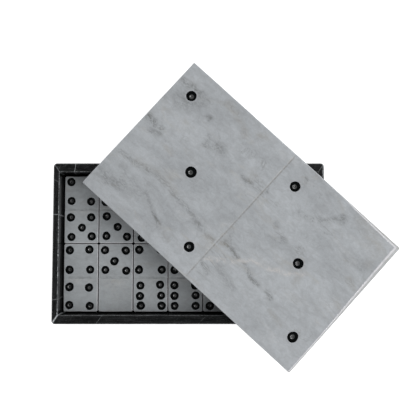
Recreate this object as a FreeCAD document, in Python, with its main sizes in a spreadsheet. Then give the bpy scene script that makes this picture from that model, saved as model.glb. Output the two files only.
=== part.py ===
import FreeCAD, Part
import os
import Sketcher

# A stone domino set in its box: a black marble box made of slabs, a double-six set of
# white marble dominoes in two layers, and a lid that is cut like a giant double three
# and lies slantwise across the open box.
#
# Frame: +Z up, origin at the centre of the box's underside. X runs along the box and
# along the two rows of dominoes, from the left end wall to the right end wall.
# Y runs from the near long wall to the far long wall.

doc = FreeCAD.newDocument("DominoSet")
sheet = doc.addObject("Spreadsheet::Sheet", "Dims")

DIMENSIONS = [
    # Box, outside
    ("box_length", 196.6),
    ("box_width", 116.0),
    ("floor_thickness", 8.0),
    ("long_wall", 6.5),
    ("end_wall", 4.4),
    ("corner_radius", 2.5),
    ("box_edge_round", 0.7),
    ("inner_arris", 0.5),
    # Dominoes
    ("tile_width", 25.2),
    ("tile_length", 49.8),
    ("tile_height", 9.0),
    ("tile_edge_round", 0.5),
    ("column_gap", 0.5),
    ("row_gap", 0.4),
    ("left_gap", 1.4),
    ("row_shift", -0.25),
    ("score_width", 2.2),
    ("score_depth", 0.3),
    # Space from the top of the upper layer to the rim
    ("head_space", 12.0),
    # Pips: drilled flat, part filled with enamel
    ("pip_diameter", 6.1),
    ("pip_depth", 1.2),
    ("enamel_recess", 0.25),
    ("pip_from_middle", 13.2),
    ("pip_step_across", 7.7),
    ("pip_step_along", 7.4),
    # Lid: a slab with a rebated underside that drops into the box
    ("lid_length", 196.8),
    ("lid_width", 117.0),
    ("slab_thickness", 8.0),
    ("plug_depth", 3.9),
    ("plug_clearance", 0.8),
    ("plug_corner", 1.5),
    ("lid_corner", 0.8),
    ("lid_edge_round", 0.5),
    ("lid_pip_diameter", 7.2),
    ("lid_pip_depth", 1.5),
    ("lid_pip_step_along", 35.0),
    ("lid_pip_step_across", 40.0),
    ("lid_score_width", 1.0),
    # Where the lid lies
    ("lid_x", 37.1),
    ("lid_y", 19.5),
    ("lid_turn", -42.5),
]

# Two lengths closer than this, in mm, are the same, and a real cut takes away at least
# this volume, in cubic mm.
TOLERANCE = 1e-6
LEAST_CUT = 0.01

for row, (alias, value) in enumerate(DIMENSIONS, start=1):
    sheet.set(f"A{row}", alias)
    sheet.set(f"B{row}", str(value))
    sheet.setAlias(f"B{row}", alias)
doc.recompute()

# Derived sizes, as expressions on the sheet
CAVITY_LENGTH = "(Dims.box_length - 2 * Dims.end_wall)"
CAVITY_WIDTH = "(Dims.box_width - 2 * Dims.long_wall)"
WALL_HEIGHT = "(2 * Dims.tile_height + Dims.head_space)"
RIM = f"(Dims.floor_thickness + {WALL_HEIGHT})"
COLUMN_PITCH = "(Dims.tile_width + Dims.column_gap)"
FIRST_COLUMN = f"(Dims.left_gap + Dims.tile_width / 2 - {CAVITY_LENGTH} / 2)"
ROW_OFFSET = "((Dims.tile_length + Dims.row_gap) / 2)"

# The double-six set as it lies in the box, left to right. Each pair is the far half's
# count and the near half's count.
UPPER_LAYER = {
    "far": [(4, 5), (3, 5), (1, 4), (0, 2), (3, 3), (6, 6), (1, 2)],
    "near": [(4, 4), (5, 0), (4, 6), (5, 6), (1, 3), (2, 6), (0, 0)],
}
LOWER_LAYER = {
    "far": [(0, 1), (0, 3), (0, 4), (0, 6), (1, 1), (1, 5), (1, 6)],
    "near": [(2, 2), (2, 3), (2, 4), (2, 5), (3, 4), (3, 6), (5, 5)],
}

# The pips are drilled by hand, so on some dominoes they all sit to one side, in mm.
PIP_DRIFT = {(4, 4): -0.8, (4, 5): -0.6, (5, 0): -0.2, (4, 6): -0.3, (5, 6): -0.3, (1, 4): 1.1}

# The lid's pips are as uneven: each one's drift along and across the lid, in mm, from the
# left end to the right.
LID_PIP_DRIFT = [(0.9, -1.0), (2.6, -1.4), (2.3, -1.0), (0.8, 1.2), (3.6, 2.4), (-0.2, 1.8)]

# Pip layouts on one half, in steps across and along from the half's pip centre. The threes
# and twos lean from the near left to the far right.
CORNERS = [(-1, -1), (1, 1), (-1, 1), (1, -1)]
PIP_LAYOUT = {
    0: [],
    1: [(0, 0)],
    2: [(-1, -1), (1, 1)],
    3: [(-1, -1), (0, 0), (1, 1)],
    4: CORNERS,
    5: CORNERS + [(0, 0)],
    6: CORNERS + [(-1, 0), (1, 0)],
}


def new_body(name):
    """An empty body, which may come to hold several separate solids."""
    body = doc.addObject("PartDesign::Body", name)
    body.Label = name
    body.AllowCompound = True
    return body


def place(body, x, y, z, turn=None):
    """Binds a body's place to expressions on the sheet."""
    body.setExpression(".Placement.Base.x", x)
    body.setExpression(".Placement.Base.y", y)
    body.setExpression(".Placement.Base.z", z)
    if turn:
        body.setExpression(".Placement.Rotation.Angle", turn)


def new_sketch(body, name, height=None):
    """A sketch on the body's XY plane, raised to a height."""
    sketch = body.newObject("Sketcher::SketchObject", name)
    planes = [f for f in body.Origin.OriginFeatures if f.Role == "XY_Plane"]
    sketch.AttachmentSupport = [(planes[0], "")]
    sketch.MapMode = "FlatFace"
    if height:
        sketch.setExpression(".AttachmentOffset.Base.z", height)
    return sketch


def bind(sketch, constraint, name, expression):
    """Adds a driving constraint and binds it to an expression."""
    index = sketch.addConstraint(constraint)
    sketch.renameConstraint(index, name)
    sketch.setExpression(f"Constraints.{name}", expression)


def locate(sketch, geometry, vertex, name, x, y):
    """Fixes a sketch point at (x, y) from the sketch's origin; None puts it on the axis."""
    for axis, other_axis, label, expression in (("DistanceX", -2, "x", x), ("DistanceY", -1, "y", y)):
        if expression is None:
            sketch.addConstraint(Sketcher.Constraint("PointOnObject", geometry, vertex, other_axis))
        else:
            start = sketch.getPoint(geometry, vertex)
            value = start.x if label == "x" else start.y
            constraint = Sketcher.Constraint(axis, -1, 1, geometry, vertex, value)
            bind(sketch, constraint, f"{name}_{label}", expression)


def value_of(expression):
    """The present value of an expression on the sheet."""
    return float(sheet.evalExpression(expression))


def polygon(sketch, corners):
    """A closed outline whose corners are pairs of expressions."""
    points = [FreeCAD.Vector(value_of(x), value_of(y), 0) for x, y in corners]
    count = len(points)
    for i in range(count):
        sketch.addGeometry(Part.LineSegment(points[i], points[(i + 1) % count]))
    for i in range(count):
        sketch.addConstraint(Sketcher.Constraint("Coincident", i, 2, (i + 1) % count, 1))
    for i, (x, y) in enumerate(corners):
        locate(sketch, i, 1, f"p{i}", x, y)


def rectangle(sketch, length, width):
    """A rectangle of the given length along X and width along Y, centred on the origin."""
    signs = [(-1, -1), (1, -1), (1, 1), (-1, 1)]
    polygon(sketch, [(f"{a} * {length} / 2", f"{b} * {width} / 2") for a, b in signs])


def circles(sketch, places, diameter):
    """Equal circles; each place is an x and a y expression, None for a centre on that axis."""
    radius = value_of(diameter) / 2
    for i, (x, y) in enumerate(places):
        centre = FreeCAD.Vector(value_of(x) if x else 0, value_of(y) if y else 0, 0)
        sketch.addGeometry(Part.Circle(centre, FreeCAD.Vector(0, 0, 1), radius))
        locate(sketch, i, 3, f"c{i}", x, y)
        if i == 0:
            bind(sketch, Sketcher.Constraint("Diameter", 0, 2 * radius), "diameter", diameter)
        else:
            sketch.addConstraint(Sketcher.Constraint("Equal", 0, i))


def pad(body, sketch, name, length):
    """Raises a solid from the sketch."""
    feature = body.newObject("PartDesign::Pad", name)
    feature.Profile = sketch
    feature.setExpression(".Length", length)


def pocket(body, sketch, name, depth):
    """Cuts downwards from the sketch, and stops if that takes nothing away."""
    doc.recompute()
    before = body.Shape.Volume
    feature = body.newObject("PartDesign::Pocket", name)
    feature.Profile = sketch
    feature.setExpression(".Length", depth)
    doc.recompute()
    if body.Shape.Volume > before - LEAST_CUT:
        raise RuntimeError(f"{name} in {body.Label} cuts nothing")


def dress(body, kind, name, size, wanted):
    """A Fillet or Chamfer on the edges of the body's shape that the test picks."""
    doc.recompute()
    base = body.Tip
    names = [f"Edge{i}" for i, edge in enumerate(base.Shape.Edges, start=1) if wanted(edge)]
    feature = body.newObject(f"PartDesign::{kind}", name)
    feature.Base = (base, names)
    feature.setExpression(".Radius" if kind == "Fillet" else ".Size", size)


def is_upright(edge):
    """Whether an edge runs straight along Z."""
    box = edge.BoundBox
    return box.ZLength > TOLERANCE and box.XLength + box.YLength < TOLERANCE


def lies_at(edge, height):
    """Whether the whole edge lies at one height."""
    box = edge.BoundBox
    return abs(box.ZMin - height) + abs(box.ZMax - height) < TOLERANCE


def box_floor():
    """The floor slab, with the box's rounded upright corners and an eased lower edge."""
    body = new_body("box_floor")
    outline = new_sketch(body, "FloorOutline")
    rectangle(outline, "Dims.box_length", "Dims.box_width")
    pad(body, outline, "FloorSlab", "Dims.floor_thickness")
    dress(body, "Fillet", "FloorCorners", "Dims.corner_radius", is_upright)
    dress(body, "Fillet", "FloorEdge", "Dims.box_edge_round", lambda e: lies_at(e, 0))
    return body


def wall_pair(name, runs_along_x):
    """Two opposite wall slabs with mitred ends, joined to the floor and to their neighbours.

    The pair is what is left of the box's rounded outline when the cavity and the other
    pair's ground, out past the mitres, are cut away.
    """
    body = new_body(name)
    outline = new_sketch(body, "WallOutline")
    rectangle(outline, "Dims.box_length", "Dims.box_width")
    pad(body, outline, "WallBlock", WALL_HEIGHT)
    height = value_of(WALL_HEIGHT)
    dress(body, "Fillet", "UprightCorners", "Dims.corner_radius", is_upright)
    dress(body, "Fillet", "OuterRimEdge", "Dims.box_edge_round", lambda e: lies_at(e, height))

    inner_x, inner_y = f"{CAVITY_LENGTH} / 2", f"{CAVITY_WIDTH} / 2"
    outer_x, outer_y = f"({inner_x} + 2 * Dims.end_wall)", f"({inner_y} + 2 * Dims.long_wall)"
    inner = [(-1, -1), (1, -1), (1, 1), (-1, 1)]
    corner = [(f"{a} * {inner_x}", f"{b} * {inner_y}") for a, b in inner]
    beyond = [(f"{a} * {outer_x}", f"{b} * {outer_y}") for a, b in inner]
    if runs_along_x:
        cut = [corner[0], corner[1], beyond[1], beyond[2], corner[2], corner[3], beyond[3], beyond[0]]
    else:
        cut = [corner[0], beyond[0], beyond[1], corner[1], corner[2], beyond[2], beyond[3], corner[3]]
    clearing = new_sketch(body, "Clearing", WALL_HEIGHT)
    polygon(clearing, cut)
    pocket(body, clearing, "Cavity", WALL_HEIGHT)

    def is_inner_rim(edge):
        box = edge.BoundBox
        if not lies_at(edge, height):
            return False
        if runs_along_x:
            return abs(abs(box.Center.y) - value_of(inner_y)) + box.YLength < TOLERANCE
        return abs(abs(box.Center.x) - value_of(inner_x)) + box.XLength < TOLERANCE

    dress(body, "Chamfer", "InnerArris", "Dims.inner_arris", is_inner_rim)
    place(body, "0", "0", "Dims.floor_thickness")
    return body


def pip_places(far_count, near_count):
    """Where a domino's pips are, from its centre."""
    places = []
    drift = PIP_DRIFT.get((far_count, near_count), 0)
    for side, count in ((1, far_count), (-1, near_count)):
        for across, along in PIP_LAYOUT[count]:
            x = f"{across} * Dims.pip_step_across + {drift}" if across or drift else None
            y = f"{side} * Dims.pip_from_middle + {along} * Dims.pip_step_along"
            places.append((x, y))
    return places


def domino(counts, x, y, z):
    """One domino: a stone tile, scored across the middle, and the enamel in its pips."""
    far_count, near_count = counts
    tile = new_body(f"tile_{far_count}_{near_count}")
    outline = new_sketch(tile, "TileOutline")
    rectangle(outline, "Dims.tile_width", "Dims.tile_length")
    pad(tile, outline, "TileBlank", "Dims.tile_height")
    dress(tile, "Fillet", "EasedEdges", "Dims.tile_edge_round", lambda edge: True)
    score = new_sketch(tile, "ScoreOutline", "Dims.tile_height")
    rectangle(score, "(Dims.tile_width + 2 * Dims.column_gap)", "Dims.score_width")
    pocket(tile, score, "Score", "Dims.score_depth")
    place(tile, x, y, z)

    places = pip_places(far_count, near_count)
    if not places:
        return [tile]
    drilling = new_sketch(tile, "PipOutlines", "Dims.tile_height")
    circles(drilling, places, "Dims.pip_diameter")
    pocket(tile, drilling, "PipHoles", "Dims.pip_depth")

    pips = new_body(f"pips_{far_count}_{near_count}")
    filling = new_sketch(pips, "EnamelOutlines", "(Dims.tile_height - Dims.pip_depth)")
    circles(filling, places, "Dims.pip_diameter")
    pad(pips, filling, "Enamel", "(Dims.pip_depth - Dims.enamel_recess)")
    place(pips, x, y, z)
    return [tile, pips]


def layer_of_dominoes(layer, z):
    """A far and a near row of seven dominoes."""
    bodies = []
    for row, side in (("far", 1), ("near", -1)):
        for column, counts in enumerate(layer[row]):
            x = f"{FIRST_COLUMN} + {column} * {COLUMN_PITCH}"
            y = f"{side} * {ROW_OFFSET} + Dims.row_shift"
            bodies += domino(counts, x, y, z)
    return bodies


def lid():
    """The lid slab with its rebated underside, and the enamel in its six pips."""
    slab = new_body("lid_slab")
    plug = new_sketch(slab, "PlugOutline")
    plug_length = f"({CAVITY_LENGTH} - 2 * Dims.plug_clearance)"
    plug_width = f"({CAVITY_WIDTH} - 2 * Dims.plug_clearance)"
    rectangle(plug, plug_length, plug_width)
    pad(slab, plug, "Plug", "Dims.plug_depth")
    dress(slab, "Fillet", "PlugCorners", "Dims.plug_corner", is_upright)
    outline = new_sketch(slab, "SlabOutline", "Dims.plug_depth")
    rectangle(outline, "Dims.lid_length", "Dims.lid_width")
    pad(slab, outline, "Slab", "Dims.slab_thickness")
    half_length = value_of("Dims.lid_length") / 2
    top = value_of("(Dims.plug_depth + Dims.slab_thickness)")
    dress(
        slab, "Fillet", "SlabCorners", "Dims.lid_corner",
        lambda e: is_upright(e) and abs(abs(e.BoundBox.Center.x) - half_length) < TOLERANCE,
    )
    dress(slab, "Fillet", "TopEdge", "Dims.lid_edge_round", lambda e: lies_at(e, top))
    score = new_sketch(slab, "LidScoreOutline", "(Dims.plug_depth + Dims.slab_thickness)")
    rectangle(score, "Dims.lid_score_width", "(Dims.lid_width + Dims.long_wall)")
    pocket(slab, score, "LidScore", "Dims.score_depth")

    # The threes lean the other way on the lid, from the far left to the near right.
    places = []
    steps = [(half, step) for half in (-1, 1) for step in (-1, 0, 1)]
    for (half, step), (drift_x, drift_y) in zip(steps, LID_PIP_DRIFT):
        x = f"{half} * Dims.lid_length / 4 + {step} * Dims.lid_pip_step_along + {drift_x}"
        y = f"{-step} * Dims.lid_pip_step_across + {drift_y}"
        places.append((x, y))
    drilling = new_sketch(slab, "LidPipOutlines", "(Dims.plug_depth + Dims.slab_thickness)")
    circles(drilling, places, "Dims.lid_pip_diameter")
    pocket(slab, drilling, "LidPipHoles", "Dims.lid_pip_depth")

    pips = new_body("lid_pips")
    bottom = "(Dims.plug_depth + Dims.slab_thickness - Dims.lid_pip_depth)"
    filling = new_sketch(pips, "LidEnamelOutlines", bottom)
    circles(filling, places, "Dims.lid_pip_diameter")
    pad(pips, filling, "LidEnamel", "(Dims.lid_pip_depth - Dims.enamel_recess)")
    for body in (slab, pips):
        place(body, "Dims.lid_x", "Dims.lid_y", RIM, "Dims.lid_turn")
    return [slab, pips]


sub_parts = [box_floor(), wall_pair("long_walls", True), wall_pair("end_walls", False)]
sub_parts += layer_of_dominoes(LOWER_LAYER, "Dims.floor_thickness")
sub_parts += layer_of_dominoes(UPPER_LAYER, "Dims.floor_thickness + Dims.tile_height")
sub_parts += lid()
doc.recompute()

# Nothing is written unless every object recomputed and every shape is sound.
for item in doc.Objects:
    if "Invalid" in item.State or "Error" in item.State:
        raise RuntimeError(f"{item.Label} did not recompute: {item.State}")
for body in sub_parts:
    if body.Shape.isNull() or not body.Shape.isValid() or not body.Shape.Solids:
        raise RuntimeError(f"{body.Label} has no sound shape")

os.makedirs("parts", exist_ok=True)
for body in sub_parts:
    body.Shape.exportStep(f"parts/{body.Label}.step")
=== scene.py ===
import math
import random

import bmesh
import bpy
from mathutils import Matrix, Vector, geometry, noise


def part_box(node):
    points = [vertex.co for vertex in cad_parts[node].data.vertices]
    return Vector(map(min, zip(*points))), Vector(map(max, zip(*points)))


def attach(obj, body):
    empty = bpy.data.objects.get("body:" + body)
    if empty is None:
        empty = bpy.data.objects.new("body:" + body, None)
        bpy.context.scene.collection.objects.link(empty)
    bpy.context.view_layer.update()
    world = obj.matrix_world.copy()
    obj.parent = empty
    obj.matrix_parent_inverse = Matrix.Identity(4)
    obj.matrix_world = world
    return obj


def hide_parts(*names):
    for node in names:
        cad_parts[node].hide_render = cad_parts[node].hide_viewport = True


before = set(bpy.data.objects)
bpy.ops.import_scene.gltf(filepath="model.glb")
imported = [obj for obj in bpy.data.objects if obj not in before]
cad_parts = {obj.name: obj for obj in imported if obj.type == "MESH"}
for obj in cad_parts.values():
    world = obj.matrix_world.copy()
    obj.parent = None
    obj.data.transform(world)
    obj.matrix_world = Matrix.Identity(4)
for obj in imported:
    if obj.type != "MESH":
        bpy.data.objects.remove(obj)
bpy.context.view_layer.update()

# A stone domino set in its box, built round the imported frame. Lengths are in mm until a
# mesh is made. Each piece of stone is modelled in a frame of its own, with z = 0 at its
# underside, and then put where the CAD node is.

MM = 0.001

# Shapes that the frame doesn't give
LID_TURN = -42.5
BOX_CORNER = 2.5
TILE_PIP_DEPTH = 1.2
LID_PIP_DEPTH = 1.5

# How the stone is finished
CORNER_STEPS = 4
EASE_STEPS = 3
SHARP_ANGLE = math.radians(50)
TILE_EASE = 0.5
TILE_CORNER = 0.9
LID_EASE = 0.45
LID_CORNER = 0.8
PLUG_CORNER = 1.5
BOX_EASE = 0.7
INNER_ARRIS = 0.5
# Half the width, and the depth, of the scores across the middle
TILE_SCORE = (1.1, 0.25)
LID_SCORE = (1.0, 0.13)
# The lid's polished bevel: its width at the near right corner, and where it is widest at the
# right end and on the far side
BEVEL_START = 1.3
LID_BEVEL = (3.6, 2.4)

# Pips struck twice by hand, by domino and pip, with the direction of the second strike in
# degrees. A pip's number is its place among the domino's pips, nearest and leftmost first.
STRUCK_TWICE = {("3_5", 0): 100, ("5_0", 2): 35, ("5_0", 4): 150, ("4_6", 6): 80, ("4_4", 2): 60}

# How far pips were drilled off their marks, in mm to the right and away, pip by pip
OFF_THE_MARK = {
    "4_4": [(0.2, 0.8), (-0.2, 0), (-1.4, -0.9), (-0.8, -1.6), (0, 0), (0, 0), (-1, -0.2), (-1, 0)],
    "5_0": [(0, -0.2), (0.3, -0.6), (-0.9, -1.1), (0, -0.4), (0.1, -0.7)],
    "4_6": [(0.8, 0), (1, 0), (0.5, -0.3), (0.6, 0.2), (0.5, 0.1), (-0.3, 0.7), (-1.3, -0.2),
            (0.8, 0), (-0.5, 0)],
    "4_5": [(1, 0.3), (0.6, 0.9), (1, -0.3), (0.2, 0), (0, 0), (0.6, 0.9), (-0.1, 0.3), (0.5, 0)],
    "3_5": [(0.4, 1.1), (0.4, 0.5), (1.1, 0.6), (0.6, 0.8)],
}


def box_mm(node):
    """A node's lowest and highest corners, in mm."""
    lo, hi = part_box(node)
    return lo / MM, hi / MM


def least_reach(node, axis):
    """How near a node's mesh comes to the origin along an axis, in mm."""
    return min(abs(v.co[axis]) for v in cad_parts[node].data.vertices) / MM


FLOOR_LO, FLOOR_HI = box_mm("box_floor")
RIM = box_mm("long_walls")[1].z
CAVITY_X = least_reach("end_walls", 0)
CAVITY_Y = least_reach("long_walls", 1)
END_WALL = FLOOR_HI.x - CAVITY_X
LONG_WALL = FLOOR_HI.y - CAVITY_Y
LID_LO, LID_HI = box_mm("lid_slab")
LID_PLACE = Matrix.Translation(((LID_LO.x + LID_HI.x) / 2, (LID_LO.y + LID_HI.y) / 2, LID_LO.z))
LID_MATRIX = LID_PLACE @ Matrix.Rotation(math.radians(LID_TURN), 4, "Z")
LID_POINTS = [LID_MATRIX.inverted() @ (v.co / MM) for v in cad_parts["lid_slab"].data.vertices]
LID_TOP = LID_HI.z - LID_LO.z
LID_HALF_X = max(p.x for p in LID_POINTS)
LID_HALF_Y = max(p.y for p in LID_POINTS)
PLUG_HALF_X = max(p.x for p in LID_POINTS if p.z < 1)
PLUG_HALF_Y = max(p.y for p in LID_POINTS if p.z < 1)
PLUG_DEPTH = min(p.z for p in LID_POINTS if p.x > PLUG_HALF_X + 1)


def smooth(low, high, value):
    """0 below low, 1 above high, and an S-curve between."""
    t = min(max((value - low) / (high - low), 0.0), 1.0)
    return t * t * (3 - 2 * t)


def mix(a, b, t):
    return a + (b - a) * t


def unevenness(x, y, seed, wavelength):
    """A smooth random height between 0 and 1."""
    return 0.5 + 0.5 * noise.noise(Vector((x / wavelength, y / wavelength, seed)))


# ---------------------------------------------------------------------------------------
# Mesh building
# ---------------------------------------------------------------------------------------


class Shape:
    """A mesh in the making. Each point has four marks, which its material reads: worn arris,
    painted lighter as wear and as a highlight; grey smudge and film of dust, which in the scores
    is painted shade; warm stain, which on the lid's bevel and score is painted shade; and pale
    vein and glue, which in the scores and round the pips' dimples is a painted highlight."""

    def __init__(self):
        self.points = []
        self.marks = []
        self.faces = []

    def add(self, x, y, z, marks=(0, 0, 0, 0)):
        self.points.append((x, y, z))
        self.marks.append(marks)
        return len(self.points) - 1

    def bridge(self, lower, upper):
        """Quads between two closed rings of equally many points."""
        for i in range(len(lower)):
            j = (i + 1) % len(lower)
            self.faces.append((lower[i], lower[j], upper[j], upper[i]))

    def fan(self, ring, centre):
        """Triangles from a ring to one point."""
        for i in range(len(ring)):
            self.faces.append((ring[i], ring[(i + 1) % len(ring)], centre))

    def fill(self, outline, chains, holes, loose):
        """Triangulates a face inside its outline, along chains of points, round holes and
        through loose points. A hole is its ring and the pip that says what is inside."""
        edges = list(zip(outline, outline[1:] + outline[:1]))
        for chain in chains:
            edges += zip(chain, chain[1:])
        for ring, _ in holes:
            edges += zip(ring, ring[1:] + ring[:1])
        used = sorted({i for edge in edges for i in edge} | set(loose))
        place = {index: k for k, index in enumerate(used)}
        flat = [Vector(self.points[i][:2]) for i in used]
        pairs = [(place[a], place[b]) for a, b in edges]
        inside = [[place[i] for i in outline]]
        result = geometry.delaunay_2d_cdt(flat, pairs, inside, 1, 1e-6)
        corners, triangles, origins = result[0], result[2], result[3]
        for triangle in triangles:
            middle = sum((corners[i] for i in triangle), Vector((0, 0))) / 3
            if not any(pip.holds(middle) for _, pip in holes):
                self.faces.append(tuple(used[origins[i][0]] for i in triangle))

    def build(self, name, body, material, nodes, matrix, lot):
        """Makes the object. Its stone coordinates are the piece's own, moved by its lot, so
        that no two pieces show the same part of the pattern."""
        mesh = bpy.data.meshes.new(name)
        mesh.from_pydata([matrix @ Vector(p) * MM for p in self.points], [], self.faces)
        stone = mesh.attributes.new("stone", "FLOAT_VECTOR", "POINT")
        stone.data.foreach_set("vector", [a + b for p in self.points for a, b in zip(p, lot)])
        marks = mesh.attributes.new("marks", "FLOAT_COLOR", "POINT")
        marks.data.foreach_set("color", [c for m in self.marks for c in m])
        tidy = bmesh.new()
        tidy.from_mesh(mesh)
        bmesh.ops.delete(tidy, geom=[v for v in tidy.verts if not v.link_faces], context="VERTS")
        bmesh.ops.recalc_face_normals(tidy, faces=tidy.faces)
        tidy.to_mesh(mesh)
        tidy.free()
        mesh.shade_smooth()
        mesh.set_sharp_from_angle(angle=SHARP_ANGLE)
        mesh.materials.append(material)
        piece = bpy.data.objects.new(name, mesh)
        bpy.context.scene.collection.objects.link(piece)
        weighted = piece.modifiers.new("FlatFaces", "WEIGHTED_NORMAL")
        weighted.keep_sharp = True
        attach(piece, body)
        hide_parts(*nodes)


def spread(reach, step, extra):
    """Places from -reach to reach, about a step apart, ends left out, with extra ones."""
    count = max(2, round(2 * reach / step))
    even = [-reach + 2 * reach * i / count for i in range(1, count)]
    near = [e for e in even if all(abs(e - x) > 0.3 * step for x in extra)]
    return sorted(near + list(extra))


def stations(half_x, half_y, corner, step, extra_x=(), extra_y=()):
    """Where an outline is sampled, anticlockwise from the right near corner.

    Each station is a place (sx, sy) on the rectangle of the corners' centres, from -1 to 1,
    and the outward direction (cx, cy).
    """
    found = []
    for quarter, (sx, sy) in enumerate([(1, -1), (1, 1), (-1, 1), (-1, -1)]):
        for i in range(CORNER_STEPS + 1):
            angle = math.radians(90 * (quarter - 1 + i / CORNER_STEPS))
            found.append((sx, sy, math.cos(angle), math.sin(angle)))
        upright = quarter % 2 == 0
        reach = (half_y if upright else half_x) - corner
        for place in spread(reach, step, extra_y if upright else extra_x):
            t = place / reach * (1 if quarter in (0, 3) else -1)
            found.append((sx, t, sx, 0) if upright else (t, sy, 0, sy))
    return found


def ring(shape, outline, half_x, half_y, corner, inset, height, marks=(0, 0, 0, 0)):
    """One ring of a block. inset(station) gives how far in from the x and y sides it is,
    height(x, y, station) how high, and marks may be a function of the station too."""
    made = []
    for station in outline:
        sx, sy, cx, cy = station
        in_x, in_y = inset(station)
        x = sx * (half_x - in_x - corner) + corner * cx
        y = sy * (half_y - in_y - corner) + corner * cy
        mark = marks(station) if callable(marks) else marks
        made.append(shape.add(x, y, height(x, y, station), mark))
    return made


def eased(size, rising):
    """(inset, height, wear mark) round an edge that is rounded by size. The wear mark, on the
    steps between the ends, has the arris painted lighter, as wear and as a painted highlight.
    """
    steps = []
    for i in range(EASE_STEPS + 1):
        angle = math.radians(90 * i / EASE_STEPS)
        wear_and_highlight = 1.0 if 0 < i < EASE_STEPS else 0.0
        steps.append((size * (1 - math.sin(angle)), size * (1 - math.cos(angle)), wear_and_highlight))
    return steps if rising else [(i, -h, w) for i, h, w in reversed(steps)]


class Pip:
    """One drilled pip: its place and its slightly uneven outline."""

    def __init__(self, centre, radius, luck, second_strike=None):
        self.x, self.y, self.radius = centre.x, centre.y, radius
        self.waves = [(n, luck.uniform(0.004, 0.014), luck.uniform(0, math.tau)) for n in (2, 3, 5)]
        self.second_strike = second_strike
        self.depth_share = luck.uniform(0.85, 1.15)
        self.lean = Vector((luck.uniform(-0.09, 0.09), luck.uniform(-0.09, 0.09)))

    def reach(self, angle):
        """From the centre to the outline."""
        reach = self.radius * (1 + sum(a * math.sin(n * angle + p) for n, a, p in self.waves))
        if self.second_strike is not None:
            turn = angle - math.radians(self.second_strike)
            offset = 0.3 * self.radius
            across = offset * math.sin(turn)
            second = offset * math.cos(turn) + math.sqrt((0.85 * self.radius) ** 2 - across**2)
            reach = max(reach, second)
        return reach

    def holds(self, point):
        """Whether a point is inside the ring that the drilled rim starts from."""
        dx, dy = point.x - self.x, point.y - self.y
        return math.hypot(dx, dy) < self.reach(math.atan2(dy, dx)) + PIP_RIM[0][0] - 0.02

    def ring(self, shape, share, offset, z, marks=(0, 0, 0, 0)):
        """A ring at a share of the outline's reach, plus an offset."""
        made = []
        for i in range(PIP_SEGMENTS):
            angle = math.tau * i / PIP_SEGMENTS
            far = self.reach(angle) * share + offset
            x = self.x + self.lean.x * self.radius * (1 - share) + far * math.cos(angle)
            y = self.y + self.lean.y * self.radius * (1 - share) + far * math.sin(angle)
            made.append(shape.add(x, y, z, marks))
        return made


PIP_SEGMENTS = 36
# The least stone between a pip and the eased edge of its domino
PIP_TO_EDGE = 0.4
# The drilled rim in the stone, softened by polishing: offset from the outline, and depth
PIP_RIM = [(0.2, 0.0), (0.1, 0.03), (0.03, 0.08), (0.0, 0.16)]
# The enamel: how far its edge and its flat lie below the stone, and the width, as a share
# of the pip's radius, and depth of the dimple over the drill's point
ENAMEL_EDGE = 0.07
ENAMEL_FLAT = 0.11
TILE_DIMPLE = (0.27, 0.44)
LID_DIMPLE = (0.3, 0.6)
BOWL_SHARES = [0.03, 0.06, 0.1, 0.14, 0.18, 0.22, 0.26, 0.31, 0.37, 0.45, 0.6, 0.8, 0.94]


def drill(shape, pip, top, depth):
    """A pip's hole in the stone. Returns the ring that it leaves in the face."""
    rings = [pip.ring(shape, 1, offset, top - down) for offset, down in PIP_RIM]
    rings.append(pip.ring(shape, 1, 0, top - depth))
    for upper, lower in zip(rings, rings[1:]):
        shape.bridge(upper, lower)
    shape.fan(rings[-1], shape.add(pip.x, pip.y, top - depth))
    return rings[0]


def enamel_depth(pip, share, dimple):
    """How far the enamel lies below the stone: it creeps up the wall, lies flat, and has a
    dimple over the drill's point."""
    width, depth = dimple
    flat = mix(ENAMEL_FLAT, ENAMEL_EDGE, share**8)
    return flat + depth * pip.depth_share * math.exp(-((share / width) ** 2))


def enamel(shape, pip, top, depth, dimple):
    """The enamel in one pip, as a closed solid that fits the hole."""
    fit = 0.015
    centre_x = pip.x + pip.lean.x * pip.radius
    centre_y = pip.y + pip.lean.y * pip.radius
    middle = shape.add(centre_x, centre_y, top - enamel_depth(pip, 0, dimple))
    rings = []
    for share in BOWL_SHARES:
        # A grey mark on a ring round the dimple, which the enamel paints as a highlight ring
        greying = max(0.0, 1 - abs(share - dimple[0]) / 0.1)
        level = top - enamel_depth(pip, share, dimple)
        rings.append(pip.ring(shape, share, 0, level, (0, 0, 0, greying)))
    rings.append(pip.ring(shape, 1, fit, top - ENAMEL_EDGE))
    rings.append(pip.ring(shape, 1, fit, top - depth + fit))
    shape.fan(rings[0], middle)
    for inner, outer in zip(rings, rings[1:]):
        shape.bridge(inner, outer)
    shape.fan(rings[-1], shape.add(pip.x, pip.y, top - depth + fit))


def pip_circles(node):
    """(centre, radius) of each pip in a CAD node, in mm, nearest and leftmost first.

    The points of a pip's cylinder share their places in plan, so a pip is what the mesh's
    edges join once points are taken by their place in plan.
    """
    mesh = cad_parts[node].data
    plan = [(round(v.co.x / MM, 3), round(v.co.y / MM, 3)) for v in mesh.vertices]
    leader = {p: p for p in plan}

    def find(p):
        while leader[p] != p:
            leader[p] = leader[leader[p]]
            p = leader[p]
        return p

    for edge in mesh.edges:
        leader[find(plan[edge.vertices[0]])] = find(plan[edge.vertices[1]])
    groups = {}
    for p in leader:
        groups.setdefault(find(p), []).append(p)
    circles = []
    for group in groups.values():
        xs, ys = [p[0] for p in group], [p[1] for p in group]
        centre = Vector(((min(xs) + max(xs)) / 2, (min(ys) + max(ys)) / 2, 0))
        circles.append((centre, (max(xs) - min(xs)) / 2))
    return sorted(circles, key=lambda c: (round(c[0].y), c[0].x))


# ---------------------------------------------------------------------------------------
# Dominoes
# ---------------------------------------------------------------------------------------


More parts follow.
